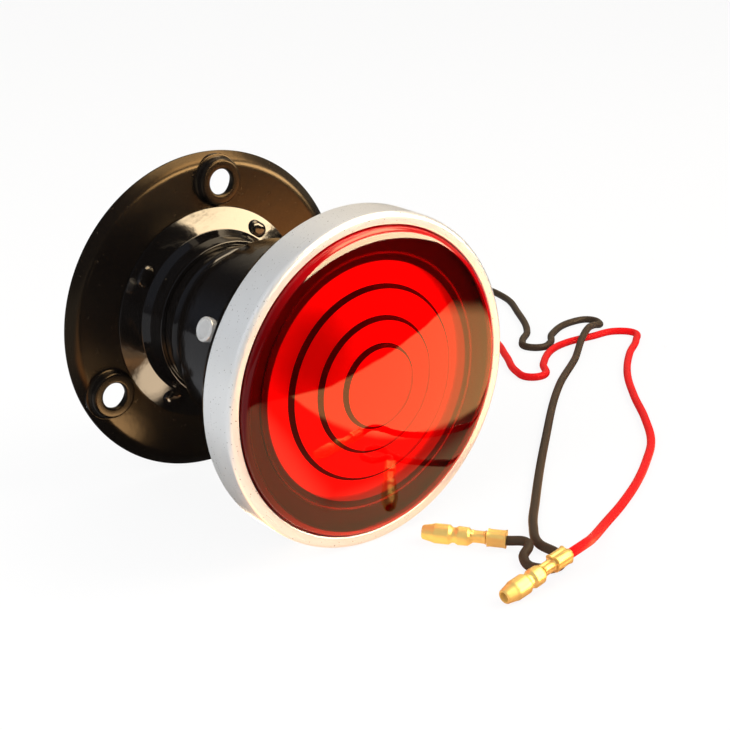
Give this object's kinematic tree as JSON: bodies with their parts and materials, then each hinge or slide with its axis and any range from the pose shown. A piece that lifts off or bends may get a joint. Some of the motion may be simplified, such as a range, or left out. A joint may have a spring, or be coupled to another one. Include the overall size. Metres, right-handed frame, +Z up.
{
  "type": "motorcycle tail light",
  "caption": "Round tail light: red pressed lens in a push-on rim, black spun bell on a holed mounting flange, bayonet bulb inside, two leads with bullet connectors.",
  "frame": {"origin": "bottom centre of the lamp's box, without its leads, on the surface that it lies on", "axes": "+Z up from that surface, -Y the way the lens faces, +X to the right seen from in front of the lens"},
  "size_m": [0.2207, 0.2146, 0.086],
  "materials": {
    "black_paint": "gloss",
    "satin_aluminium": "satin",
    "polished_aluminium": "polished",
    "red_glass": "gloss",
    "clear_glass": "gloss",
    "brass": "satin",
    "bright_steel": "satin",
    "zinc_steel": "satin",
    "spring_steel": "satin",
    "solder": "matte",
    "phenolic": "satin",
    "black_rubber": "matte",
    "red_sleeve": "satin",
    "black_sleeve": "satin"
  },
  "bodies": {
    "lamp": {"mounting_flange": "black_paint", "collar": "black_paint", "foot_rivets": "black_paint", "bell": "black_paint", "side_rivets": "bright_steel", "socket_strap": "zinc_steel", "socket_shell": "brass", "contact_spring": "spring_steel", "reflector": "polished_aluminium", "lens_gasket": "black_rubber", "grommet": "black_rubber", "red_inner_lead": "red_sleeve", "black_inner_lead": "black_sleeve", "earth_terminal": "brass", "earth_screw": "zinc_steel", "red_lead": "red_sleeve", "black_lead": "black_sleeve", "red_bullet": "brass", "black_bullet": "brass"},
    "front": {"rim": "satin_aluminium", "lens": "red_glass"},
    "plunger": {"contact_disc": "phenolic", "contact_button": "brass"},
    "bulb": {"bulb_cap": "brass", "bulb_pins": "brass", "bulb_contact": "solder", "bulb_glass": "clear_glass", "bulb_stem": "clear_glass", "bulb_filament": "spring_steel"}
  },
  "joints": [
    {"name": "rim_pull", "type": "slide", "parent": "lamp", "child": "front", "axis": [0, -0.9997, -0.0253], "range_m": [0, 0.0055]},
    {"name": "bulb_press", "type": "slide", "parent": "lamp", "child": "plunger", "axis": [0, 0.9997, 0.0253], "range_m": [0, 0.0015], "stiffness_N_per_m": 2000, "springref_m": -0.002, "deforming": ["contact_spring"]},
    {"name": "bulb_turn", "type": "hinge", "parent": "plunger", "child": "bulb", "pos_m": [0, 0.0019, 0.0421], "axis": [0, -0.9997, -0.0253], "range_deg": [0, 20]}
  ]
}
